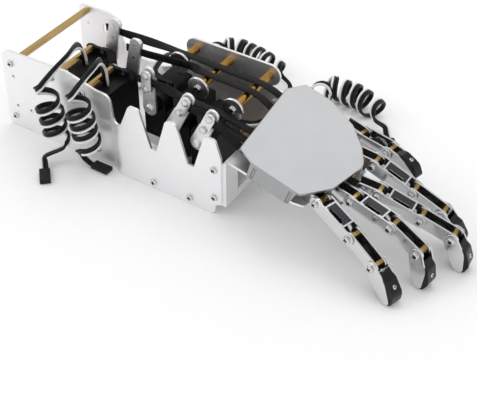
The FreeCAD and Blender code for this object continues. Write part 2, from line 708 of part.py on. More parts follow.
def frame_brass():
    """Hexagon standoffs of the forearm, cover posts and the fixed knuckle spacers."""
    near_rear = NEAR_REAR_Y + SHEET
    out = []
    for x, z in REAR_SCREWS:
        out.append(hexagon_y(x, z, near_rear, FAR_REAR_Y - SHEET, HEX_ACROSS))
    for name, (x, z, seat, side, lean) in SERVOS.items():
        behind = seat - side * (SERVO_EAR_AT + SERVO_EAR_T)
        for hx, hz in servo_holes(name):
            if side > 0:
                out.append(hexagon_y(hx, hz, near_rear, behind, HEX_ACROSS))
            else:
                out.append(hexagon_y(hx, hz, behind, FAR_FRONT_Y - SHEET, HEX_ACROSS))
    bored = []
    for bar in out:
        box = bar.BoundBox
        x = box.Center.x
        z = box.Center.z
        near_bore = rod_y(x, z, box.YMin - 1, box.YMin + 6, BORE_R)
        far_bore = rod_y(x, z, box.YMax - 6, box.YMax + 1, BORE_R)
        bored.append(bar.cut([near_bore, far_bore]))
    for name in FINGERS:
        bored.append(hinge_spacer(splay_frame(name), 0))
    return bored + cover_posts()


POSTS = ((238.0, -36.0), (240.0, 29.5), (282.0, 5.0))


def cover_posts():
    """Posts between the palm base and the cover, trimmed to the cover's underside."""
    out = []
    normal = cover_frame().Rotation.multVec(V(0, 0, 1))
    for x, y in POSTS:
        foot_z = PALM_Z - (x - PALM_X) * math.tan(math.radians(PALM_PITCH))
        foot = V(x, y, foot_z)
        bar = Part.makeCylinder(HEX_ACROSS / 2, 60, V(0, 0, 0), V(0, 0, 1))
        bar = moved(bar, FreeCAD.Placement(foot, FreeCAD.Rotation(V(0, 1, 0), PALM_PITCH)))
        above = Part.makeBox(300, 300, 100, V(-150, -150, -SHEET))
        out.append(bar.cut(moved(above, cover_frame())))
    return out


def frame_screws():
    out = []
    for x, z in REAR_SCREWS:
        out.append(screw_y(x, z, NEAR_REAR_Y, -1, 6))
        out.append(screw_y(x, z, FAR_REAR_Y, 1, 6))
    for name, (x, z, seat, side, lean) in SERVOS.items():
        for hx, hz in servo_holes(name):
            ear = seat - side * SERVO_EAR_AT
            out.append(screw_y(hx, hz, ear, side, SERVO_EAR_T + 4))
            if side > 0:
                out.append(screw_y(hx, hz, NEAR_REAR_Y, -1, 6))
            else:
                out.append(screw_y(hx, hz, FAR_FRONT_Y, 1, 6))
    for x in BASE_SCREW_X:
        out.append(screw_y(x, BASE_SCREW_Z, NEAR_FRONT_Y, -1, 6))
        out.append(screw_y(x, BASE_SCREW_Z, FAR_FRONT_Y, 1, 6))
    for z in EAR_SCREW_Z:
        out.append(screw_y(FRONT_X - BULKHEAD_EAR / 2, z, NEAR_FRONT_Y, -1, 6))
        out.append(screw_y(FRONT_X - BULKHEAD_EAR / 2, z, FAR_FRONT_Y, 1, 6))
    for x, y in zip(ROLLER_X, ROLLER_NEAR_Y):
        out.append(pan_head(x, ROLLER_Z, y - DISC_T, -1))
    for x in GUIDE_LEG_X:
        out.append(screw_y(x, GUIDE_LEG_FOOT + 7, FAR_FRONT_Y, 1, 6))
    for name in FINGERS:
        out += hinge_screws(splay_frame(name), 0)
    return out


# Free servo leads: a tail tube each, and a fat tube of the curl's outer diameter
LEAD_W = 4.2
CURL_D = 22.0
LEADS = {
    "thumb": (
        [V(50, -2, 58), V(50, -2, 72), V(55, -14, 83), V(62, -27, 89), V(71, -42.5, 89.3)],
        [V(64, -51, 60), V(56, -50.7, 42), V(48, -50.5, 24), V(43, -50.5, 2.8)],
        (V(59, -72, 2.15), V(0.67, -0.74, 0), 18),
    ),
    "index": (
        [V(80, -14.5, 56), V(80, -14.5, 71), V(83.5, -21, 83), V(90, -31, 89), V(95, -44, 89.5)],
        [V(90, -51.5, 61), V(86.5, -51, 47), V(82, -50.5, 33), V(76, -50.5, 14), V(75, -51, 2.2)],
        (V(87, -46, 2.15), V(1, 0, 0), 6),
    ),
    "middle": (
        [V(112, 17, 55), V(103, 17, 55), V(97, 24, 55), V(94, 37, 55), V(92, 51, 53.5), V(90, 66, 44),
         V(88, 82, 26)],
        [V(88, 108, 11.4), V(90, 139, 11.4), V(121, 139, 11.4), V(145, 130, 11.4), V(168, 123, 11.4)],
        (V(171, 113, 2.15), V(0.6, -0.8, 0), 8),
    ),
    "little": (
        [V(186, 1, 55), V(198, 1, 55), V(207, 10, 56), V(211.5, 25, 56), V(213, 42, 56),
         V(211, 59, 50), V(206, 75, 33)],
        [V(197, 107, 11.4), V(193, 133, 11.4), V(218, 134, 11.4), V(240, 129, 11.4), V(262, 111, 11.4)],
        (V(267.4, 105.1, 2.15), V(0.678, -0.735, 0), 8),
    ),
}
LEAD_IN = 18.0
PLUG = (15.0, 8.4, 3.4)


def lead(name):
    """One servo lead: its tail over the side plate, the curl and the short run to its plug."""
    tail, curl, plug = LEADS[name]
    place, heading, reach = plug
    into = (curl[1] - curl[0]).normalize()
    route = tail + [curl[0] - into * LEAD_IN, curl[0] + into]
    back = Part.makeCylinder(LEAD_W / 2, reach, place, -heading)
    return route_tube(curl, CURL_D / 2).fuse([route_tube(route, LEAD_W / 2), back])


def lead_plug(name):
    """Black connector on a lead's end, lying flat beside the curl."""
    place, heading, reach = LEADS[name][2]
    length, width, height = PLUG
    box = Part.makeBox(length, width, height, V(0, -width / 2, -height / 2))
    box = box.makeChamfer(0.5, [e for e in box.Edges if e.BoundBox.XLength > length - 1])
    frame = FreeCAD.Placement(place, FreeCAD.Rotation(V(1, 0, 0), heading))
    return moved(box, frame)


def route_tube(points, radius):
    """A tube along straight runs joined by tangent arcs; prints the arc radii."""
    edges = []
    last = points[0]
    for i in range(1, len(points) - 1):
        here = points[i]
        back = points[i - 1] - here
        ahead = points[i + 1] - here
        turn_angle = math.pi - back.getAngle(ahead)
        shorter = min(back.Length, ahead.Length)
        bend = 0.45 * shorter / math.tan(turn_angle / 2)
        print("bend radius", round(bend, 1))
        back.normalize()
        ahead.normalize()
        start = here + back * 0.45 * shorter
        end = here + ahead * 0.45 * shorter
        inward = (back + ahead).normalize()
        middle = here + inward * (bend / math.cos(turn_angle / 2) - bend)
        edges.append(Part.LineSegment(last, start).toShape())
        edges.append(Part.Arc(start, middle, end).toShape())
        last = end
    edges.append(Part.LineSegment(last, points[-1]).toShape())
    path = Part.Wire(edges)
    section = Part.Wire(Part.makeCircle(radius, points[0], points[1] - points[0]))
    return path.makePipeShell([section], True, False)


def save(name, shapes):
    if not isinstance(shapes, list):
        shapes = [shapes]
    solids = []
    for shape in shapes:
        solids += shape.Solids
    bad = [s for s in solids if not s.isValid()]
    box = Part.makeCompound(solids).BoundBox
    state = "bad" if bad or not solids else "ok"
    print(name, len(solids), "solids", state, round(box.ZMin, 2), round(box.ZMax, 2))
    target = solids[0] if len(solids) == 1 else Part.makeCompound(solids)
    target.exportStep("parts/" + name + ".step")


def build():
    os.makedirs("parts", exist_ok=True)
    save("near_side_plate", near_side_plate())
    save("far_side_plate", far_side_plate())
    save("base_plate", base_plate())
    save("far_guide_plate", far_guide_plate())
    save("guide_rollers", guide_rollers())
    save("palm_base", palm_base())
    save("palm_cover", palm_cover())
    save("knuckle_brackets", [bracket(name) for name in FINGERS])
    save("brass_standoffs", frame_brass())
    save("frame_screws", frame_screws())
    for name in SERVOS:
        save("servo_" + name, servo(name))
        save("horn_" + name, servo_horn(name))
        save("clamp_" + name, horn_clamp(name))
        save("strap_" + name, strap(name))
    for name in LEADS:
        save("lead_" + name, lead(name))
    save("lead_plugs", [lead_plug(name) for name in LEADS])
    for name in FINGERS:
        frames = link_frames(name)
        if name == "thumb":
            link = channel(THUMB_LINK, OUTER_IN, OUTER_HALF, -HALF_H, 0)
            save("thumb_link", moved(link, frames[0]))
            save("thumb_tip_plates", [moved(s, frames[1]) for s in fingertip(SPACER_L / 2, INNER_HALF)])
            save("thumb_tip_pad", moved(fingertip_pad(SPACER_L / 2), frames[1]))
            save("thumb_hinge_set", [hinge_spacer(frames[1], 0)] + hinge_screws(frames[1], 0))
            continue
        upper = channel(PROXIMAL, OUTER_IN, OUTER_HALF, HALF_H - FINGER_SHEET, WEB_SLOT)
        lower = channel(MIDDLE, SPACER_L / 2, INNER_HALF, -HALF_H, 0)
        save(name + "_proximal_link", moved(upper, frames[0]))
        save(name + "_middle_link", moved(lower, frames[1]))
        save(name + "_tip_plates", [moved(s, frames[2]) for s in fingertip(OUTER_IN, OUTER_HALF)])
        save(name + "_tip_pad", moved(fingertip_pad(OUTER_IN), frames[2]))
        hinges = [hinge_spacer(frames[1], x) for x in (0, MIDDLE)]
        for x in (0, MIDDLE):
            hinges += hinge_screws(frames[1], x)
        save(name + "_hinge_set", hinges)


build()
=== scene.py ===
import bpy
import bmesh
import math
from mathutils import Matrix, Vector


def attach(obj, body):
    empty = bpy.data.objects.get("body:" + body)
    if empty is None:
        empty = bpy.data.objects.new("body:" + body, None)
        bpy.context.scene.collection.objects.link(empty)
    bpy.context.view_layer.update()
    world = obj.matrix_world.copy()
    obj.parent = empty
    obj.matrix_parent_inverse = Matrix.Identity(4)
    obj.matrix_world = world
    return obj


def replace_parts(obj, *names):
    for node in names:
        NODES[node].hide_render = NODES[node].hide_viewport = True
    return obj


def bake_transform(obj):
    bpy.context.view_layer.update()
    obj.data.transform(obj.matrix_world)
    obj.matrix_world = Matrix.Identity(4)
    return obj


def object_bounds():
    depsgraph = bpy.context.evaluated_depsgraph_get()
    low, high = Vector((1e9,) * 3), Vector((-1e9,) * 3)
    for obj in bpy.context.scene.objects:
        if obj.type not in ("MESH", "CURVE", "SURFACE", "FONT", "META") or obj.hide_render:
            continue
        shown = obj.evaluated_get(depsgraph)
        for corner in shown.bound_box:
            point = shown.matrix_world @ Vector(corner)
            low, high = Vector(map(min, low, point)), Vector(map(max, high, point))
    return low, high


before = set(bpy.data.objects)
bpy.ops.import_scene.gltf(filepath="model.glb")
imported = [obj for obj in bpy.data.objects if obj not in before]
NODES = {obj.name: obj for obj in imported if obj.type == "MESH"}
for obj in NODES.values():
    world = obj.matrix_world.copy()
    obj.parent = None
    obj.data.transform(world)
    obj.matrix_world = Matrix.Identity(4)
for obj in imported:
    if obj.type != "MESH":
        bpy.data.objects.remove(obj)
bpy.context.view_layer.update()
FINGERS = ("little", "ring", "middle", "index", "thumb")
MM = 0.001

# The camera looks down on the hand from the near side, a little behind its middle.
CAMERA_AT = (0.524, -0.524, 0.521)
CAMERA_RIGHT = (0.844, 0.536, 0.0)
CAMERA_UP = (-0.353, 0.556, 0.752)
LENS_MM = 79.5
CLIP_START = 0.01

# Servo leads. tail: from the servo to the curl. curl: the curl's centre line. plug: the plug's rear end, and
# the way it points. turns, start: turns of the curl, and degrees where they begin. spare: points left off
# the curl's end. opening: how much wider apart the end turns are. white: the ribbon's white side.
LEADS = {
    "thumb": {
        "tail": [
            (0.05, -0.002, 0.058), (0.05, -0.002, 0.07), (0.053, -0.01, 0.08), (0.059, -0.022, 0.0875),
            (0.065, -0.036, 0.0895), (0.0625, -0.048, 0.0845), (0.055, -0.053, 0.0765),
        ],
        "curl": [
            (0.051, -0.053, 0.0665), (0.0535, -0.053, 0.052), (0.0565, -0.0527, 0.037),
            (0.059, -0.0525, 0.022), (0.0605, -0.0525, 0.008),
        ],
        "plug": ((0.059, -0.072, 0.00215), (0.67, -0.74, 0.0)),
        "turns": 4, "start": 300, "spare": 1, "opening": 0.6, "white": 1,
    },
    "index": {
        "tail": [
            (0.08, -0.0145, 0.056), (0.08, -0.0145, 0.069), (0.082, -0.019, 0.08), (0.087, -0.028, 0.088),
            (0.0915, -0.039, 0.0895), (0.09, -0.049, 0.0855), (0.085, -0.053, 0.08),
        ],
        "curl": [
            (0.082, -0.053, 0.071), (0.0845, -0.053, 0.057), (0.0875, -0.0527, 0.042),
            (0.0895, -0.0525, 0.027), (0.089, -0.0525, 0.013),
        ],
        "plug": ((0.087, -0.046, 0.00215), (1.0, 0.0, 0.0)),
        "turns": 4.5, "start": 300, "spare": 3, "opening": 0.6, "white": 1,
    },
    "middle": {
        "tail": [
            (0.112, 0.017, 0.055), (0.103, 0.017, 0.055), (0.097, 0.024, 0.055), (0.094, 0.037, 0.055),
            (0.092, 0.051, 0.0535), (0.09, 0.066, 0.044), (0.088, 0.082, 0.026), (0.0868, 0.09, 0.0114),
        ],
        "curl": [
            (0.088, 0.108, 0.0114), (0.09, 0.139, 0.0114), (0.121, 0.139, 0.0114), (0.145, 0.13, 0.0114),
            (0.168, 0.123, 0.0114),
        ],
        "plug": ((0.171, 0.113, 0.00215), (0.6, -0.8, 0.0)),
        "turns": 7, "start": 90, "spare": 2, "opening": 0.8, "white": -1,
    },
    "little": {
        "tail": [
            (0.186, 0.001, 0.055), (0.198, 0.001, 0.055), (0.207, 0.01, 0.056), (0.2115, 0.025, 0.056),
            (0.213, 0.042, 0.056), (0.211, 0.059, 0.05), (0.206, 0.075, 0.033), (0.1997, 0.0892, 0.0114),
        ],
        "curl": [
            (0.197, 0.107, 0.0114), (0.193, 0.133, 0.0114), (0.218, 0.134, 0.0114), (0.24, 0.129, 0.0114),
            (0.262, 0.111, 0.0114),
        ],
        "plug": ((0.2674, 0.1051, 0.00215), (0.678, -0.735, 0.0)),
        "turns": 6, "start": 120, "spare": 2, "opening": 0.8, "white": -1,
    },
}
COIL_R = 9.6 * MM
COIL_STEP = 4.0 * MM
COIL_SAMPLES = 800
# Share of a curl in which it opens from its centre line, and closes to it again
END_SHARE = 0.26
# The turns of a used curl differ a little in size
COIL_DRIFT = 0.04
DRIFT_RATE = 4.6
STRAND_R = 1.1 * MM
STRAND_SIDES = 7
STRAND_PITCH = 2.1 * MM
# The last stretch before a plug: millimetres behind it, and over it
LEAD_IN = ((11, 6), (7, 3), (3.5, 0.8), (0, 0))
# Points of a lead that lie flat before its plug
FLAT_POINTS = 15
# How far the ribbon turns towards the way it wants to lie at each point, and how clear that way has to be
TWIST = 0.4
CLEAR_WAY = 0.2
# Where the coil starts between the tail's last point and the curl's first
COIL_ENTRY = 0.6
# Spline points from one control point to the next, in a curl's centre line and in a whole lead
CENTRE_STEPS = 12
ROUTE_STEPS = 3
# From a plug's rear end to its middle
PLUG_MIDDLE = 7.5 * MM

# Ways of a strap's width over the forearm
UPRIGHT = (0.0, 0.0, 1.0)
SLOPED = (0.0, 0.707, 0.707)
LEVEL = (0.0, 1.0, 0.0)
# Tendon straps: the forearm's points, each with the way of the strap's width; then that way along the finger,
# and the finger's points, five for each joint
STRAPS = {
    "little": (
        [
            ((0.17757, -0.0327, 0.07366), UPRIGHT), ((0.19557, -0.0327, 0.07366), UPRIGHT),
            ((0.20386, -0.03036, 0.06598), SLOPED), ((0.21216, -0.02802, 0.05831), LEVEL),
            ((0.214, -0.0275, 0.0566), LEVEL),
        ],
        (0.269, 0.962, -0.043),
        [
            (0.25792, -0.02601, 0.04604), (0.26806, -0.029, 0.0424), (0.27825, -0.03192, 0.04079),
            (0.28421, -0.03367, 0.03908), (0.29094, -0.03547, 0.04081), (0.29823, -0.03762, 0.03821),
            (0.30245, -0.03905, 0.03257), (0.30826, -0.04079, 0.03008), (0.31268, -0.0421, 0.02841),
            (0.31824, -0.04358, 0.03008), (0.32351, -0.04516, 0.02757), (0.32586, -0.04606, 0.02215),
            (0.32967, -0.04722, 0.01994), (0.33292, -0.04827, 0.01671),
        ],
    ),
    "ring": (
        [
            ((0.15135, -0.0247, 0.07328), UPRIGHT), ((0.16935, -0.0247, 0.07328), UPRIGHT),
            ((0.18035, -0.02342, 0.06966), SLOPED), ((0.19135, -0.02214, 0.06604), LEVEL),
            ((0.214, -0.0195, 0.0586), LEVEL),
        ],
        (0.137, 0.99, -0.022),
        [
            (0.27531, -0.01394, 0.04584), (0.28576, -0.01547, 0.04215), (0.29651, -0.017, 0.04044),
            (0.30312, -0.01793, 0.03977), (0.30964, -0.01877, 0.04266), (0.31749, -0.01989, 0.04138),
            (0.32276, -0.02073, 0.03657), (0.32885, -0.0216, 0.0352), (0.33319, -0.02224, 0.03365),
            (0.33888, -0.02299, 0.03535), (0.34433, -0.0238, 0.03288), (0.34684, -0.02427, 0.02746),
            (0.3502, -0.02478, 0.02579), (0.35118, -0.025, 0.02195),
        ],
    ),
    "middle": (
        [
            ((0.11344, -0.0167, 0.076), UPRIGHT), ((0.13144, -0.0167, 0.076), UPRIGHT),
            ((0.14244, -0.0167, 0.075), SLOPED), ((0.15344, -0.0162, 0.0735), LEVEL),
            ((0.188, -0.0142, 0.0696), LEVEL), ((0.214, -0.011, 0.0606), LEVEL),
        ],
        (-0.086, 0.996, 0.014),
        [
            (0.28718, -0.00442, 0.04656), (0.29769, -0.00346, 0.04286), (0.30829, -0.00252, 0.04118),
            (0.31457, -0.00196, 0.03963), (0.32146, -0.00139, 0.04156), (0.32911, -0.00069, 0.03917),
            (0.33368, -0.00022, 0.03365), (0.33992, 0.00035, 0.03128), (0.34481, 0.00079, 0.03012),
            (0.3503, 0.00123, 0.03245), (0.35603, 0.00175, 0.0306), (0.35914, 0.00209, 0.0255),
            (0.36275, 0.00242, 0.02417), (0.36436, 0.00261, 0.02049),
        ],
    ),
    "index": (
        [
            ((0.07577, 0.0192, 0.07054), UPRIGHT), ((0.09377, 0.0192, 0.07054), UPRIGHT),
            ((0.135, 0.0192, 0.0745), UPRIGHT), ((0.1485, 0.01664, 0.075), LEVEL),
            ((0.195, 0.01476, 0.075), LEVEL), ((0.214, 0.014, 0.066), LEVEL),
        ],
        (-0.009, 1.0, 0.001),
        [
            (0.2731, 0.01781, 0.05287), (0.28365, 0.0179, 0.04917), (0.29418, 0.018, 0.04751),
            (0.30023, 0.01805, 0.04552), (0.30727, 0.01811, 0.04692), (0.31475, 0.01818, 0.04396),
            (0.31891, 0.01822, 0.03811), (0.32498, 0.01828, 0.03527), (0.32979, 0.01832, 0.03375),
            (0.33546, 0.01837, 0.03565), (0.34106, 0.01842, 0.03337), (0.34379, 0.01845, 0.02805),
            (0.34767, 0.01849, 0.02613), (0.35052, 0.01852, 0.02268),
        ],
    ),
    "thumb": (
        [
            ((0.0462, 0.0317, 0.07245), UPRIGHT), ((0.0642, 0.0317, 0.07245), UPRIGHT),
            ((0.1165, 0.02989, 0.075), LEVEL), ((0.195, 0.02756, 0.075), LEVEL),
            ((0.214, 0.027, 0.0684), LEVEL),
        ],
        (0.222, 0.974, -0.035),
        [
            (0.24766, 0.05245, 0.04768), (0.25793, 0.04997, 0.04402), (0.26875, 0.04745, 0.04231),
            (0.27425, 0.04621, 0.04272), (0.27901, 0.04526, 0.04663), (0.28533, 0.04382, 0.04665),
            (0.29005, 0.04261, 0.04277), (0.29499, 0.04146, 0.04241), (0.29964, 0.04037, 0.04139),
        ],
    ),
}
STRAP_W = 6.6 * MM
STRAP_T = 1.2 * MM
STRAP_STEP = 3 * MM
# A strap's section in half widths and half thicknesses, with its corners broken
STRAP_SECTION = ((-1, -0.5), (-0.9, -1), (0.9, -1), (1, -0.5), (1, 0.5), (0.9, 1), (-0.9, 1), (-1, 0.5))
# How far a strap eases its corners, from none to a full curve, and the angle from which its edges stay sharp
CORNER_EASE = 0.6
SHARP_EDGE = 0.9
# Strap points from one section to the next, and from a section's start to its hinge
JOINT_POINTS = 5

# Screws of each node: the middle of the face under the head, and the way the head points
NEAR = (0.0, -1.0, 0.0)
FAR = (0.0, 1.0, 0.0)
SCREWS = {
    "frame_screws": [
        ((0.004, -0.037, 0.061), NEAR), ((0.004, 0.06, 0.061), FAR), ((0.001, -0.037, 0.01), NEAR),
        ((0.001, 0.06, 0.01), FAR), ((0.171, -0.016, 0.016), NEAR), ((0.171, 0.05, 0.016), FAR),
        ((0.181, -0.016, 0.016), NEAR), ((0.181, 0.05, 0.016), FAR), ((0.144, -0.008, 0.016), NEAR),
        ((0.144, 0.05, 0.016), FAR), ((0.154, -0.008, 0.016), NEAR), ((0.154, 0.05, 0.016), FAR),
        ((0.117, 0.0, 0.016), NEAR), ((0.117, 0.05, 0.016), FAR), ((0.127, 0.0, 0.016), NEAR),
        ((0.127, 0.05, 0.016), FAR), ((0.075, 0.0025, 0.0605), FAR), ((0.075, -0.037, 0.0605), NEAR),
        ((0.085, 0.0025, 0.011), FAR), ((0.085, -0.037, 0.011), NEAR), ((0.045, 0.015, 0.0625), FAR),
        ((0.045, -0.037, 0.0625), NEAR), ((0.055, 0.015, 0.013), FAR), ((0.055, -0.037, 0.013), NEAR),
        ((0.142, -0.042, 0.006), NEAR), ((0.142, 0.05, 0.006), FAR), ((0.175, -0.042, 0.006), NEAR),
        ((0.175, 0.05, 0.006), FAR), ((0.197, -0.042, 0.016), NEAR), ((0.197, 0.05, 0.016), FAR),
        ((0.197, -0.042, 0.042), NEAR), ((0.197, 0.05, 0.042), FAR), ((0.123, 0.0225, 0.0705), NEAR),
        ((0.154, 0.002, 0.0705), NEAR), ((0.19, -0.0066, 0.0705), NEAR), ((0.138, 0.05, 0.049), FAR),
        ((0.172, 0.05, 0.049), FAR), ((0.27732, -0.03801, 0.04407), (-0.269, -0.962, 0.043)),
        ((0.28068, -0.02599, 0.04353), (0.269, 0.962, -0.043)),
        ((0.29614, -0.02319, 0.04364), (-0.137, -0.99, 0.022)),
        ((0.29786, -0.01081, 0.04336), (0.137, 0.99, -0.022)),
        ((0.30954, -0.00873, 0.04411), (0.086, -0.996, -0.014)),
        ((0.30846, 0.00373, 0.04429), (-0.086, 0.996, 0.014)),
        ((0.29505, 0.01175, 0.05049), (0.009, -1.0, -0.001)),
        ((0.29495, 0.02425, 0.05051), (-0.009, 1.0, 0.001)),
        ((0.26761, 0.04141, 0.04562), (-0.222, -0.974, 0.035)),
        ((0.27039, 0.05359, 0.04518), (0.222, 0.974, -0.035)),
    ],
    "little_hinge_set": [
        ((0.30772, -0.04699, 0.03322), (-0.269, -0.962, 0.043)),
        ((0.31108, -0.03496, 0.03269), (0.269, 0.962, -0.043)),
        ((0.32968, -0.05359, 0.02278), (-0.269, -0.962, 0.043)),
        ((0.33304, -0.04157, 0.02225), (0.269, 0.962, -0.043)),
    ],
    "clamp_little": [
        ((0.18403, -0.035, 0.06822), NEAR), ((0.1891, -0.035, 0.0791), NEAR),
    ],
    "ring_hinge_set": [
        ((0.32888, -0.02785, 0.03831), (-0.137, -0.99, 0.022)),
        ((0.3306, -0.01547, 0.03804), (0.137, 0.99, -0.022)),
        ((0.35163, -0.03124, 0.028), (-0.137, -0.99, 0.022)),
        ((0.35335, -0.01886, 0.02773), (0.137, 0.99, -0.022)),
    ],
    "clamp_ring": [
        ((0.15763, -0.027, 0.06793), NEAR), ((0.16307, -0.027, 0.07862), NEAR),
    ],
    "middle_hinge_set": [
        ((0.34139, -0.00584, 0.03415), (0.086, -0.996, -0.014)),
        ((0.34031, 0.00662, 0.03432), (-0.086, 0.996, 0.014)),
        ((0.36529, -0.00367, 0.02644), (0.086, -0.996, -0.014)),
        ((0.36421, 0.00879, 0.02662), (-0.086, 0.996, 0.014)),
    ],
    "clamp_middle": [
        ((0.12233, -0.019, 0.07), NEAR), ((0.12254, -0.019, 0.082), NEAR),
    ],
    "index_hinge_set": [
        ((0.32619, 0.01204, 0.03814), (0.009, -1.0, -0.001)),
        ((0.32608, 0.02454, 0.03815), (-0.009, 1.0, 0.001)),
        ((0.34953, 0.01225, 0.02864), (0.009, -1.0, -0.001)),
        ((0.34942, 0.02475, 0.02866), (-0.009, 1.0, 0.001)),
    ],
    "clamp_index": [
        ((0.08363, 0.0215, 0.06465), FAR), ((0.08592, 0.0215, 0.07643), FAR),
    ],
    "thumb_hinge_set": [
        ((0.29394, 0.03541, 0.04571), (-0.222, -0.974, 0.035)),
        ((0.29671, 0.04759, 0.04527), (0.222, 0.974, -0.035)),
    ],
    "clamp_thumb": [
        ((0.05395, 0.034, 0.06658), FAR), ((0.05645, 0.034, 0.07832), FAR),
    ],
}
# Pan head on its washer, from the edge to the crown: radius and height in mm
HEAD_PROFILE = ((3.1, 0.02), (3.1, 0.4), (2.7, 0.42), (2.68, 1.1), (2.4, 1.55), (1.9, 1.78), (1.2, 1.86))
HEAD_SIDES = 20
# One slot of the cross recess: its length, width and height, and the height of its middle
RECESS_SIZE = (3.5 * MM, 1.05 * MM, 1.8 * MM)
RECESS_MIDDLE = 1.75 * MM
# Faces of the recess, which get the painted shade, lie between these heights, and nearer the screw's middle
# than this.
RECESS_LOW = 0.5 * MM
RECESS_HIGH = 1.6 * MM
RECESS_REACH = 1.85 * MM
CLAMP_HEAD_SCALE = 1.04
PAD_HEAD_SCALE = 0.55
# Screws stop at any angle: the first one's turn, and the turn from each to the next, in radians.
FIRST_TURN = 0.4
NEXT_TURN = 0.9
# A hinge's spacer has its middle this near the middle between the hinge's two screws.
SPACER_REACH = 1.5 * MM
# The discs of the guide rollers are thinner than this, and their sleeves are longer.
THICKEST_DISC = 4 * MM

# Proximal links: the knuckle axis point, the way along the link and the way out of its web
LINKS = {
    "little": ((0.279, -0.032, 0.0438), (0.907, -0.268, -0.324), (0.323, -0.048, 0.945)),
    "ring": ((0.297, -0.017, 0.0435), (0.977, -0.139, -0.159), (0.161, 0.0, 0.987)),
    "middle": ((0.309, -0.0025, 0.0442), (0.951, 0.086, -0.297), (0.297, 0.013, 0.955)),
    "index": ((0.295, 0.018, 0.0505), (0.929, 0.009, -0.369), (0.369, 0.002, 0.93)),
}
# The web, where the painted reflection goes, from its hinge in mm, along, across and out: its middle, and how
# far it reaches to each side
WEB_REACH = ((16.75, 8.5), (0.0, 4.3), (5.0, 0.6))

# Fingertip frames: the end hinge, the way along the tip and the way out of its back
TIPS = {
    "little": ((0.33136, -0.04758, 0.02251), (0.696, -0.225, -0.681), (0.665, -0.153, 0.731)),
    "ring": ((0.35249, -0.02505, 0.02786), (0.309, -0.064, -0.949), (0.941, -0.124, 0.315)),
    "middle": ((0.36475, 0.00256, 0.02653), (0.454, 0.051, -0.889), (0.887, 0.07, 0.457)),
    "index": ((0.34948, 0.0185, 0.02865), (0.652, 0.007, -0.759), (0.759, 0.006, 0.652)),
    "thumb": ((0.29532, 0.0415, 0.04549), (0.953, -0.225, -0.205), (0.207, -0.012, 0.978)),
}
# The pad's screw in mm from that hinge
PAD_SCREW_ALONG = 18
PAD_SCREW_OUT = 6

# The part of their range that noise values fill
NOISE_LOW = 0.3
NOISE_HIGH = 0.7

# Half the floor's side, and how far it lies under the lowest piece
FLOOR_HALF = 4
FLOOR_GAP = 0.2 * MM
# The world's strength on matt surfaces, and in reflections at the horizon and overhead
MATT_WORLD = 0.88
HORIZON = 1.0
OVERHEAD = 0.6
# Soft boxes: place, watts and side, all aimed at one point of the forearm
SOFT_BOXES = (((0.1, 0.5, 1.3), 3.2, 0.9), ((-0.7, -0.6, 0.9), 1.6, 0.5))
LAMP_AIM = (0.2, 0, 0.03)


def linear(code):
    """A colour written as an sRGB hex code, turned to the linear values that shaders take."""
    parts = [int(code[i:i + 2], 16) / 255 for i in (0, 2, 4)]
    return tuple(c / 12.92 if c <= 0.04045 else ((c + 0.055) / 1.055) ** 2.4 for c in parts) + (1.0,)


def add(tree, kind, inputs=None, **settings):
    """A shader node with its settings, and each input set to a value or linked from a socket."""
    node = tree.nodes.new(kind)
    for name, value in settings.items():
        setattr(node, name, value)
    for name, value in (inputs or {}).items():
        if isinstance(value, bpy.types.NodeSocket):
            tree.links.new(value, node.inputs[name])
        else:
            node.inputs[name].default_value = value
    return node


def surface(name, **values):
    """A new material whose one shader has these constant values, with its tree and shader."""
    material = bpy.data.materials.new(name)
    material.use_nodes = True
    tree = material.node_tree
    tree.nodes.clear()
    shader = add(tree, "ShaderNodeBsdfPrincipled")
    for key, value in values.items():
        shader.inputs[key.replace("_", " ").title().replace("Ior", "IOR")].default_value = value
    add(tree, "ShaderNodeOutputMaterial", {"Surface": shader.outputs["BSDF"]})
    return material, tree, shader


def grain(tree, size_mm):
    """Noise on the object whose cells measure size_mm along X, Y and Z."""
    place = add(tree, "ShaderNodeTexCoord").outputs["Object"]
    scale = tuple(1.0 / (s * MM) for s in size_mm)
    stretched = add(tree, "ShaderNodeMapping", {"Vector": place, "Scale": scale}).outputs["Vector"]
    return add(tree, "ShaderNodeTexNoise", {"Vector": stretched, "Scale": 1.0, "Detail": 2.0}).outputs["Fac"]


def finished(name, colours, rough, grain_mm, drift_mm, relief, depth_mm, edge_mm, **values):
    """A material with slow colour drift, grain in its roughness and relief, and soft edges."""
    material, tree, shader = surface(name, **values)
    noise = grain(tree, grain_mm)
    colour = add(tree, "ShaderNodeMix", {
        "Factor": grain(tree, (drift_mm,) * 3), "A": linear(colours[0]), "B": linear(colours[1]),
    }, data_type="RGBA")
    tree.links.new(colour.outputs["Result"], shader.inputs["Base Color"])
    gloss = add(tree, "ShaderNodeMapRange", {
        "Value": noise, "From Min": NOISE_LOW, "From Max": NOISE_HIGH, "To Min": rough[0], "To Max": rough[1],
    })
    tree.links.new(gloss.outputs["Result"], shader.inputs["Roughness"])
    edge = add(tree, "ShaderNodeBevel", {"Radius": edge_mm * MM}, samples=4)
    bump = add(tree, "ShaderNodeBump", {
        "Height": noise, "Strength": relief, "Distance": depth_mm * MM, "Normal": edge.outputs["Normal"],
    })
    tree.links.new(bump.outputs["Normal"], shader.inputs["Normal"])
    return material


def metal(name, dark, light, rough, grain_mm, depth_mm, edge_mm):
    """A sheet or turned metal, with its grain measured along X, Y and Z."""
    return finished(name, (dark, light), rough, grain_mm, drift_mm=25, relief=0.25,
                    depth_mm=depth_mm, edge_mm=edge_mm, metallic=1.0)


def moulded(name, dark, light, rough, grit_mm, depth_mm, edge_mm=0.3, **values):
    """A moulded or extruded plastic or rubber with even grit."""
    return finished(name, (dark, light), rough, (grit_mm,) * 3, drift_mm=9, relief=0.3,
                    depth_mm=depth_mm, edge_mm=edge_mm, **values)


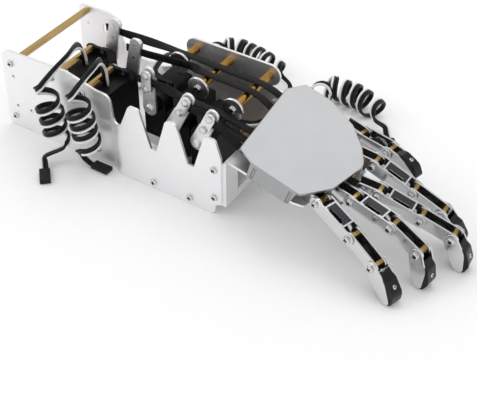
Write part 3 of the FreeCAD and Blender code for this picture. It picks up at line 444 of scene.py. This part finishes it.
# Real grain and grit are finer than a pixel of the render, so they are drawn 0.2 to 0.8 mm wide, to show.
# Rolled aluminium sheet, satin: pale grey with a faint grain along the forearm and blurred reflections.
SATIN_SHEET = metal("satin_rolled_aluminium", "F0EFF1", "F6F5F6", (0.42, 0.5), (9, 0.35, 0.35), 0.005, 0.5)
# Anodised aluminium cover: an even, slightly cooler grey that spreads highlights wide.
COVER_SHEET = metal("anodised_aluminium_cover", "A6A7A8", "B0B1B2", (0.34, 0.44), (0.3, 0.3, 0.3), 0.008, 0.7)
# Tumbled aluminium links: bright, with sharp dark and white reflections.
FINGER_SHEET = metal("tumbled_aluminium_links", "D4D5D7", "E2E2E2", (0.12, 0.24), (0.5, 0.5, 0.5), 0.01, 0.3)
# Turned brass: warm yellow brown with faint turning rings.
BRASS = metal("turned_brass", "B2935A", "CDB07A", (0.18, 0.3), (2.5, 0.4, 2.5), 0.004, 0.25)
# Amber brass sleeves of the guide rollers, darker from oil and handling.
ROLLER_BRASS = metal("oiled_turned_brass", "9C7236", "BE9450", (0.14, 0.24), (3, 0.4, 3), 0.004, 0.25)
# Zinc-plated steel screws: bright, cool and glossy.
ZINC_STEEL = metal("zinc_plated_steel", "D2D2D2", "E2E2E1", (0.1, 0.2), (0.3, 0.3, 0.3), 0.01, 0.15)
# Nickel-plated steel clamps and roller discs: silver white with soft bright reflections.
NICKEL_STEEL = metal("nickel_plated_steel", "DCDCDD", "EAEAEA", (0.2, 0.32), (0.2, 0.2, 0.2), 0.01, 0.4)
# The depth of a screw's cross recess: painted shade, a near-black steel that stands in for the shadow in the
# recess.
RECESS_SHADE_STEEL = metal("painted_recess_shade_steel", "232324", "303132", (0.3, 0.4), (0.3, 0.3, 0.3), 0.01, 0.1)
# Injection-moulded ABS servo cases: near black with a fine spark texture.
SERVO_ABS = moulded("moulded_black_abs", "090A0B", "101112", (0.36, 0.5), 0.35, 0.02, 0.5,
                    specular_ior_level=0.22)
# Moulded nitrile fingertip pads: black, smooth and glossy.
PAD_RUBBER = moulded("moulded_black_nitrile", "060607", "0C0C0D", (0.12, 0.22), 0.6, 0.006, 0.6,
                     specular_ior_level=0.3)
# PVC insulation, white and black strands: soft gloss, slightly uneven.
WHITE_PVC = moulded("extruded_white_pvc", "E2E2DF", "EFEFED", (0.3, 0.42), 0.8, 0.01)
BLACK_PVC = moulded("extruded_black_pvc", "08080A", "101011", (0.26, 0.38), 0.8, 0.01,
                    specular_ior_level=0.28)
# Moulded nylon connector housings: matt black.
PLUG_NYLON = moulded("moulded_black_nylon", "0B0B0C", "131314", (0.4, 0.55), 0.3, 0.02, 0.25,
                     specular_ior_level=0.25)


def ribbed_strap(rib_mm, fibre_mm):
    """Woven nylon strap: black, with ribs across it that catch the light, as a painted highlight on their
    crests besides their bump, and a slight sparkle of fibres.
    """
    material, tree, shader = surface("woven_black_nylon", specular_ior_level=0.2)
    place = add(tree, "ShaderNodeTexCoord").outputs["UV"]
    # The wave repeats every 2 pi / 20 of its scaled length.
    wave = add(tree, "ShaderNodeTexWave", {
        "Vector": place, "Scale": math.pi / (10 * rib_mm * MM), "Distortion": 0.0,
    }, bands_direction="Y")
    ribs = wave.outputs["Fac"]
    noise = add(tree, "ShaderNodeTexNoise", {"Vector": place, "Scale": 1.0 / (fibre_mm * MM), "Detail": 2.0})
    fibres = noise.outputs["Fac"]
    # Painted highlight: the rib crests are coloured lighter than the grooves.
    colour = add(tree, "ShaderNodeMix", {
        "Factor": ribs, "A": linear("040405"), "B": linear("151517"),
    }, data_type="RGBA")
    tree.links.new(colour.outputs["Result"], shader.inputs["Base Color"])
    gloss = add(tree, "ShaderNodeMapRange", {
        "Value": fibres, "From Min": NOISE_LOW, "From Max": NOISE_HIGH, "To Min": 0.35, "To Max": 0.6,
    })
    tree.links.new(gloss.outputs["Result"], shader.inputs["Roughness"])
    bump = add(tree, "ShaderNodeBump", {"Height": ribs, "Strength": 0.7, "Distance": 0.3 * MM})
    tree.links.new(bump.outputs["Normal"], shader.inputs["Normal"])
    return material


STRAP_NYLON = ribbed_strap(2.0, 0.4)


def web_sheet(name):
    """A proximal link's sheet: bright cheeks, and a web painted dark grey, a painted reflection of the dark
    hand above it.
    """
    hinge, along, out = LINKS[name]
    across = Vector(out).cross(Vector(along)).normalized()
    material = FINGER_SHEET.copy()
    material.name = name + "_painted_web_reflection"
    tree = material.node_tree
    shader = next(n for n in tree.nodes if n.type == "BSDF_PRINCIPLED")
    place = add(tree, "ShaderNodeTexCoord").outputs["Object"]
    local = add(tree, "ShaderNodeVectorMath", {0: place, 1: hinge}, operation="SUBTRACT").outputs[0]
    masks = []
    for way, (middle, half) in zip((along, tuple(across), out), WEB_REACH):
        reach = add(tree, "ShaderNodeVectorMath", {0: local, 1: way}, operation="DOT_PRODUCT")
        inside = add(tree, "ShaderNodeMath", {
            0: reach.outputs["Value"], 1: middle * MM, 2: half * MM,
        }, operation="COMPARE")
        masks.append(inside.outputs[0])
    flat = add(tree, "ShaderNodeMath", {0: masks[0], 1: masks[1]}, operation="MULTIPLY").outputs[0]
    web = add(tree, "ShaderNodeMath", {0: flat, 1: masks[2]}, operation="MULTIPLY").outputs[0]
    bright = shader.inputs["Base Color"].links[0].from_socket
    # Painted reflection: the web is mixed to a dark grey that stands for the hand above, mirrored in it.
    colour = add(tree, "ShaderNodeMix", {"Factor": web, "A": bright, "B": linear("48494C")}, data_type="RGBA")
    tree.links.new(colour.outputs["Result"], shader.inputs["Base Color"])
    return material


def dress(node, material):
    """Gives a CAD node its finish, through its material slots only."""
    piece = NODES[node]
    if not piece.material_slots:
        piece.data.materials.append(material)
    for holder in piece.material_slots:
        holder.material = material


def placed(name, data):
    """A new object in the scene that holds this mesh, curve, lamp or camera."""
    thing = bpy.data.objects.new(name, data)
    bpy.context.scene.collection.objects.link(thing)
    return thing


def new_piece(name, vertices, faces, material, body, smooth=True):
    """A mesh piece, riding on a body where one is given."""
    mesh = bpy.data.meshes.new(name)
    mesh.from_pydata([tuple(v) for v in vertices], [], faces)
    mesh.update()
    mesh.materials.append(material)
    if smooth:
        mesh.shade_smooth()
    piece = placed(name, mesh)
    if body:
        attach(piece, body)
    return piece


def solids_of(node):
    """The separate solids of a CAD node's mesh: each its centre, vertices and faces."""
    mesh = NODES[node].data
    owner = list(range(len(mesh.vertices)))

    def root(i):
        while owner[i] != i:
            owner[i] = owner[owner[i]]
            i = owner[i]
        return i

    seen = {}
    for v in mesh.vertices:
        key = tuple(round(c, 6) for c in v.co)
        if key in seen:
            owner[root(v.index)] = root(seen[key])
        seen[key] = v.index
    for edge in mesh.edges:
        owner[root(edge.vertices[0])] = root(edge.vertices[1])
    groups = {}
    for face in mesh.polygons:
        groups.setdefault(root(face.vertices[0]), []).append(face)
    solids = []
    for faces in groups.values():
        used = sorted({i for f in faces for i in f.vertices})
        place = {old: new for new, old in enumerate(used)}
        points = [mesh.vertices[i].co.copy() for i in used]
        middle = sum(points, Vector()) / len(points)
        solids.append((middle, points, [[place[i] for i in f.vertices] for f in faces]))
    return solids


def join_solids(name, solids, material, body):
    """One piece made of a CAD node's own solids."""
    points = []
    faces = []
    for _, corners, sides in solids:
        faces += [[i + len(points) for i in side] for side in sides]
        points += corners
    return new_piece(name, points, faces, material, body, smooth=False)


def soften(piece, width_mm, segments=2, angle=0.6):
    """Rounded edges on a piece, as a modifier."""
    edges = piece.modifiers.new("soft_edges", "BEVEL")
    edges.width = width_mm * MM
    edges.segments = segments
    edges.limit_method = "ANGLE"
    edges.angle_limit = angle


def turned(profile, steps):
    """Points and faces of a shape turned about Z from its profile of radius and height."""
    points = []
    faces = []
    for radius, height in profile:
        for k in range(steps):
            angle = 2 * math.pi * k / steps
            points.append(Vector((radius * math.cos(angle), radius * math.sin(angle), height)))
    for low in range(0, (len(profile) - 1) * steps, steps):
        for k in range(steps):
            after = (k + 1) % steps
            faces.append((low + k, low + after, low + steps + after, low + steps + k))
    faces.append(tuple(range((len(profile) - 1) * steps, len(profile) * steps)))
    faces.append(tuple(reversed(range(steps))))
    return points, faces


def cross_recess_head():
    """A pan head with a cross recess in its crown: points, faces, and which faces lie in the recess, to take
    the painted shade.
    """
    points, faces = turned([(r * MM, h * MM) for r, h in HEAD_PROFILE], HEAD_SIDES)
    mesh = bpy.data.meshes.new("head_blank")
    mesh.from_pydata(points, [], faces)
    blank = placed("head_blank", mesh)
    cutter = bmesh.new()
    slot = Matrix.Translation((0, 0, RECESS_MIDDLE)) @ Matrix.Diagonal((*RECESS_SIZE, 1.0))
    for turn in (0, math.pi / 2):
        bmesh.ops.create_cube(cutter, size=1.0, matrix=Matrix.Rotation(turn, 4, "Z") @ slot)
    tool_mesh = bpy.data.meshes.new("recess_tool")
    cutter.to_mesh(tool_mesh)
    tool = placed("recess_tool", tool_mesh)
    cut = blank.modifiers.new("recess", "BOOLEAN")
    cut.operation = "DIFFERENCE"
    cut.object = tool
    cut.solver = "EXACT"
    cut.use_self = True
    bpy.context.view_layer.update()
    done = blank.evaluated_get(bpy.context.evaluated_depsgraph_get()).to_mesh()
    points = [v.co.copy() for v in done.vertices]
    faces = [list(p.vertices) for p in done.polygons]
    bpy.data.objects.remove(blank)
    bpy.data.objects.remove(tool)
    in_shade = []
    for face in faces:
        middle = sum((points[i] for i in face), Vector()) / len(face)
        inside = math.hypot(middle.x, middle.y) < RECESS_REACH
        in_shade.append(inside and RECESS_LOW < middle.z < RECESS_HIGH)
    return points, faces, in_shade


HEAD_POINTS, HEAD_FACES, HEAD_SHADE_FACES = cross_recess_head()


def screw_heads(name, places, body, scale=1.0):
    """All of one node's screw heads, each turned by its own angle."""
    points = []
    faces = []
    for i, (at, way) in enumerate(places):
        spin = Matrix.Rotation(NEXT_TURN * i + FIRST_TURN, 4, "Z")
        stand = Vector(way).to_track_quat("Z", "Y").to_matrix().to_4x4()
        place = Matrix.Translation(at) @ stand @ spin @ Matrix.Scale(scale, 4)
        faces += [[k + len(points) for k in face] for face in HEAD_FACES]
        points += [place @ p for p in HEAD_POINTS]
    piece = new_piece(name, points, faces, ZINC_STEEL, body, smooth=False)
    # Faces in the recess take the near-black steel: painted shade.
    piece.data.materials.append(RECESS_SHADE_STEEL)
    for face, in_shade in zip(piece.data.polygons, HEAD_SHADE_FACES * len(places)):
        face.material_index = int(in_shade)
    return piece


# Plates, brackets, standoffs, servos and finger sheets keep their CAD shape; the pads get rounder edges.
for node in ("near_side_plate", "far_side_plate", "base_plate", "far_guide_plate", "palm_base"):
    dress(node, SATIN_SHEET)
dress("palm_cover", COVER_SHEET)
dress("knuckle_brackets", FINGER_SHEET)
dress("brass_standoffs", BRASS)
for name in FINGERS:
    dress("servo_" + name, SERVO_ABS)
    dress("horn_" + name, SATIN_SHEET)
    dress(name + "_tip_plates", FINGER_SHEET)
    dress(name + "_tip_pad", PAD_RUBBER)
    soften(NODES[name + "_tip_pad"], width_mm=1.6, segments=4, angle=0.5)
    if name == "thumb":
        dress("thumb_link", FINGER_SHEET)
    else:
        dress(name + "_proximal_link", web_sheet(name))
        dress(name + "_middle_link", FINGER_SHEET)

# Guide rollers: brass sleeves and steel discs.
sleeves = []
discs = []
for solid in solids_of("guide_rollers"):
    depth = max(p.y for p in solid[1]) - min(p.y for p in solid[1])
    (sleeves if depth > THICKEST_DISC else discs).append(solid)
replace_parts(join_solids("roller_sleeves", sleeves, ROLLER_BRASS, "forearm"), "guide_rollers")
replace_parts(join_solids("roller_discs", discs, NICKEL_STEEL, "forearm"), "guide_rollers")

# Screws with cross recesses take the place of the plain CAD heads.
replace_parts(screw_heads("forearm_screws", SCREWS["frame_screws"], "forearm"), "frame_screws")
for name in FINGERS:
    hinge = name + "_hinge_set"
    carrier = "thumb_tip" if name == "thumb" else name + "_middle"
    centres = [(Vector(a[0]) + Vector(b[0])) / 2 for a, b in zip(SCREWS[hinge][::2], SCREWS[hinge][1::2])]
    spacers = [s for s in solids_of(hinge) if min((s[0] - c).length for c in centres) < SPACER_REACH]
    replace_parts(join_solids(name + "_hinge_spacers", spacers, BRASS, carrier), hinge)
    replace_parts(screw_heads(name + "_hinge_screws", SCREWS[hinge], carrier), hinge)
    clamp = "clamp_" + name
    horn_body = "horn_body_" + name
    plate = join_solids(name + "_clamp_plate", solids_of(clamp), NICKEL_STEEL, horn_body)
    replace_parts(plate, clamp)
    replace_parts(screw_heads(name + "_clamp_screws", SCREWS[clamp], horn_body, CLAMP_HEAD_SCALE), clamp)

for name, (hinge, along, out) in TIPS.items():
    at = Vector(hinge) + Vector(along) * PAD_SCREW_ALONG * MM + Vector(out) * PAD_SCREW_OUT * MM
    screw_heads(name + "_pad_screw", [(at, out)], name + "_tip", PAD_HEAD_SCALE)


def strap_path(stations):
    """Points through a strap's stations, eased at the corners, each with the way of the strap's width."""
    last = len(stations) - 1
    path = []
    for i in range(last):
        p0, p1, p2, p3 = (Vector(stations[min(max(k, 0), last)][0]) for k in (i - 1, i, i + 1, i + 2))
        steps = max(3, int((p2 - p1).length / STRAP_STEP))
        for k in range(steps + (i == last - 1)):
            t = k / steps
            smooth = 0.5 * (2 * p1 + (p2 - p0) * t + (2 * p0 - 5 * p1 + 4 * p2 - p3) * t * t
                            + (3 * p1 - p0 - 3 * p2 + p3) * t ** 3)
            wide = Vector(stations[i][1]).lerp(Vector(stations[i + 1][1]), t)
            path.append((p1.lerp(p2, t).lerp(smooth, CORNER_EASE), wide))
    return path


def strap_section(name, stations):
    """A length of strap swept through its stations, with its length in V for the ribs."""
    path = strap_path(stations)
    count = len(STRAP_SECTION)
    points = []
    lengths = [0.0]
    for i, (here, wide) in enumerate(path):
        along = (path[min(i + 1, len(path) - 1)][0] - path[max(i - 1, 0)][0]).normalized()
        width = (wide - along * wide.dot(along)).normalized()
        thick = along.cross(width)
        if i:
            lengths.append(lengths[-1] + (here - path[i - 1][0]).length)
        points += [here + width * (u * STRAP_W / 2) + thick * (v * STRAP_T / 2) for u, v in STRAP_SECTION]
    faces = []
    spots = []
    for i in range(len(path) - 1):
        for k in range(count):
            n = (k + 1) % count
            faces.append((i * count + k, i * count + n, (i + 1) * count + n, (i + 1) * count + k))
            here, there = (STRAP_SECTION[c][0] * STRAP_W / 2 for c in (k, n))
            low, high = lengths[i:i + 2]
            spots += [(here, low), (there, low), (there, high), (here, high)]
    for end in (tuple(reversed(range(count))), tuple(range(len(points) - count, len(points)))):
        faces.append(end)
        spots += [(0.0, 0.0)] * count
    piece = new_piece(name, points, faces, STRAP_NYLON, None)
    uv = piece.data.uv_layers.new(name="length")
    for loop, spot in zip(uv.data, spots):
        loop.uv = spot
    piece.data.set_sharp_from_angle(angle=SHARP_EDGE)
    return piece


def lay_strap(name):
    """One finger's strap in sections, each bending over one joint."""
    forearm, wide, finger = STRAPS[name]
    route = forearm + [(point, wide) for point in finger]
    wrist = len(forearm) - 1
    first = strap_section(name + "_strap_horn", route[:wrist + 1])
    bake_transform(first)
    parts = [first]
    bodies = ["forearm", name + "_proximal", name + "_middle", name + "_tip"]
    if name == "thumb":
        bodies.remove("thumb_middle")
    for i, (before, after) in enumerate(zip(bodies, bodies[1:])):
        low = wrist + JOINT_POINTS * i
        high = len(route) - 1 if after == bodies[-1] else low + JOINT_POINTS
        part = strap_section("%s_strap_%d" % (name, i + 1), route[low:high + 1])
        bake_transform(part)
        parts.append(part)
    for part in parts:
        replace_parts(part, "strap_" + name)


for name in FINGERS:
    lay_strap(name)


def spline_points(name, controls, resolution):
    """Points along the NURBS spline through a cord's control points."""
    curve = bpy.data.curves.new(name, "CURVE")
    curve.dimensions = "3D"
    spline = curve.splines.new("NURBS")
    spline.points.add(len(controls) - 1)
    for point, place in zip(spline.points, controls):
        point.co = (*place, 1.0)
    spline.order_u = 3
    spline.use_endpoint_u = True
    spline.resolution_u = resolution
    holder = placed(name, curve)
    bpy.context.view_layer.update()
    mesh = bpy.data.meshes.new_from_object(holder.evaluated_get(bpy.context.evaluated_depsgraph_get()))
    points = [v.co.copy() for v in mesh.vertices]
    bpy.data.objects.remove(holder)
    return points


def curl_points(centres, turns, start_degrees, opening):
    """Helix points round a curl's centre line; the coil opens and closes as it leaves and joins that line."""
    lengths = [0.0]
    for a, b in zip(centres, centres[1:]):
        lengths.append(lengths[-1] + (b - a).length)
    side = (centres[1] - centres[0]).normalized().orthogonal().normalized()
    index = 0
    coil = []
    for k in range(COIL_SAMPLES + 1):
        share = k / COIL_SAMPLES
        target = lengths[-1] * share
        while index < len(centres) - 2 and lengths[index + 1] < target:
            index += 1
        step = centres[index + 1] - centres[index]
        here = centres[index] + step.normalized() * min(target - lengths[index], step.length)
        along = step.normalized()
        side = (side - along * side.dot(along)).normalized()
        other = along.cross(side)
        wound = share - opening * math.sin(2 * math.pi * share) / (2 * math.pi)
        angle = math.radians(start_degrees) + 2 * math.pi * turns * wound
        ease = min(1.0, share / END_SHARE, (1 - share) / END_SHARE)
        drift = 1 + COIL_DRIFT * math.sin(DRIFT_RATE * turns * share)
        reach = COIL_R * math.sin(ease * math.pi / 2) * drift
        spot = here + (side * math.cos(angle) + other * math.sin(angle)) * reach
        if not coil or (spot - coil[-1][0]).length > COIL_STEP:
            coil.append((spot, along))
    return coil


def ribbon_frames(path, coil):
    """The way of the ribbon's width and the way ahead at each point: flat on the coil and at the plug."""
    frames = []
    wide = None
    for i, here in enumerate(path):
        ahead = (path[min(i + 1, len(path) - 1)] - path[max(i - 1, 0)]).normalized()
        axis = min(coil, key=lambda c: (c[0] - here).length_squared)[1]
        wish = axis - ahead * axis.dot(ahead)
        if wide is None:
            wide = wish if wish.length > CLEAR_WAY else ahead.orthogonal()
        if i >= len(path) - FLAT_POINTS:
            wish = Vector((0, 0, 1)).cross(ahead)
        if wish.length > CLEAR_WAY:
            wide = wide.lerp(wish if wish.dot(wide) > 0 else -wish, TWIST)
        wide = (wide - ahead * wide.dot(ahead)).normalized()
        frames.append((wide.copy(), ahead))
    return frames


def ribbon(name, path, coil, white):
    """One white and two black strands side by side, with their ends closed."""
    frames = ribbon_frames(path, coil)
    sides = STRAND_SIDES
    points = []
    faces = []
    kinds = []
    for strand in (-1, 0, 1):
        first = len(points)
        for here, (wide, ahead) in zip(path, frames):
            up = ahead.cross(wide)
            centre = here + wide * STRAND_PITCH * strand
            for k in range(sides):
                angle = 2 * math.pi * k / sides
                points.append(centre + (wide * math.cos(angle) + up * math.sin(angle)) * STRAND_R)
        for a in range(first, len(points) - sides, sides):
            for k in range(sides):
                n = (k + 1) % sides
                faces.append((a + k, a + n, a + sides + n, a + sides + k))
        faces.append(tuple(first + k for k in reversed(range(sides))))
        faces.append(tuple(range(len(points) - sides, len(points))))
        kinds += [int(strand == white)] * (len(faces) - len(kinds))
    piece = new_piece(name, points, faces, BLACK_PVC, "forearm")
    piece.data.materials.append(WHITE_PVC)
    for face, kind in zip(piece.data.polygons, kinds):
        face.material_index = kind
    return piece


def lay_lead(name, lead, plugs):
    """One servo's lead, from the servo through its curl to its plug."""
    tail = lead["tail"]
    centres = spline_points(name + "_centre", tail[-2:] + lead["curl"], CENTRE_STEPS)
    entry = Vector(tail[-1]).lerp(Vector(lead["curl"][0]), COIL_ENTRY)
    first = min(range(len(centres)), key=lambda i: (centres[i] - entry).length)
    coil = curl_points(centres[first:], lead["turns"], lead["start"], lead["opening"])
    plug_end, pointing = (Vector(v) for v in lead["plug"])
    lead_in = [plug_end - (pointing * away - Vector((0, 0, lift))) * MM for away, lift in LEAD_IN]
    controls = [Vector(p) for p in tail[:-1]] + [p for p, a in coil[:-lead["spare"]]] + lead_in
    route = spline_points(name + "_route", controls, ROUTE_STEPS)
    cord = ribbon(name + "_lead", route, coil, lead["white"])
    housing = min(plugs, key=lambda s: (s[0] - plug_end - pointing * PLUG_MIDDLE).length)
    plug = join_solids(name + "_plug", [housing], PLUG_NYLON, "forearm")
    soften(plug, 0.4)
    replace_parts(plug, "lead_plugs")
    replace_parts(cord, "lead_" + name)


plug_solids = solids_of("lead_plugs")
for name, lead in LEADS.items():
    lay_lead(name, lead, plug_solids)


def paper_floor():
    """A white paper floor, just under the lowest piece."""
    mesh = bpy.data.meshes.new("studio_floor")
    corners = [(x * FLOOR_HALF, y * FLOOR_HALF, 0) for x, y in ((-1, -1), (1, -1), (1, 1), (-1, 1))]
    mesh.from_pydata(corners, [], [(0, 1, 2, 3)])
    floor = placed("studio_floor", mesh)
    floor.location.z = min(0.0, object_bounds()[0][2]) - FLOOR_GAP
    # Matt white paper: even, with no gloss, so that it shows soft shadows only.
    material, tree, shader = surface("matt_white_paper", roughness=0.9)
    colour = add(tree, "ShaderNodeMix", {
        "Factor": grain(tree, (6, 6, 6)), "A": linear("FAFAFA"), "B": linear("FDFDFD"),
    }, data_type="RGBA")
    tree.links.new(colour.outputs["Result"], shader.inputs["Base Color"])
    mesh.materials.append(material)


def studio_light():
    """A world that is white to the camera, and greyer overhead in reflections, and two soft boxes."""
    world = bpy.data.worlds.new("studio")
    bpy.context.scene.world = world
    world.use_nodes = True
    tree = world.node_tree
    tree.nodes.clear()
    ray = add(tree, "ShaderNodeLightPath")
    place = add(tree, "ShaderNodeTexCoord")
    height = add(tree, "ShaderNodeSeparateXYZ", {"Vector": place.outputs["Generated"]})
    shade = add(tree, "ShaderNodeMapRange", {
        "Value": height.outputs["Z"], "From Min": 0.0, "From Max": 1.0, "To Min": HORIZON, "To Max": OVERHEAD,
    })
    matt = add(tree, "ShaderNodeMix", {
        "Factor": ray.outputs["Is Glossy Ray"], "A": MATT_WORLD, "B": shade.outputs["Result"],
    })
    strength = add(tree, "ShaderNodeMix", {
        "Factor": ray.outputs["Is Camera Ray"], "A": matt.outputs["Result"], "B": 1.0,
    })
    glow = add(tree, "ShaderNodeBackground", {"Color": (1, 1, 1, 1), "Strength": strength.outputs["Result"]})
    add(tree, "ShaderNodeOutputWorld", {"Surface": glow.outputs["Background"]})
    for spot, power, size in SOFT_BOXES:
        lamp = bpy.data.lights.new("softbox", "AREA")
        lamp.energy = power
        lamp.size = size
        holder = placed("softbox", lamp)
        holder.location = spot
        holder.rotation_euler = (Vector(LAMP_AIM) - Vector(spot)).to_track_quat("-Z", "Y").to_euler()


def camera():
    """The photograph's view."""
    data = bpy.data.cameras.new("photo_camera")
    data.lens = LENS_MM
    data.clip_start = CLIP_START
    holder = placed("photo_camera", data)
    right = Vector(CAMERA_RIGHT).normalized()
    up = Vector(CAMERA_UP).normalized()
    turn = Matrix((right, up, right.cross(up))).transposed()
    holder.matrix_world = Matrix.Translation(CAMERA_AT) @ turn.to_4x4()
    bpy.context.scene.camera = holder


paper_floor()
studio_light()
camera()
bpy.context.scene.view_settings.view_transform = "Standard"
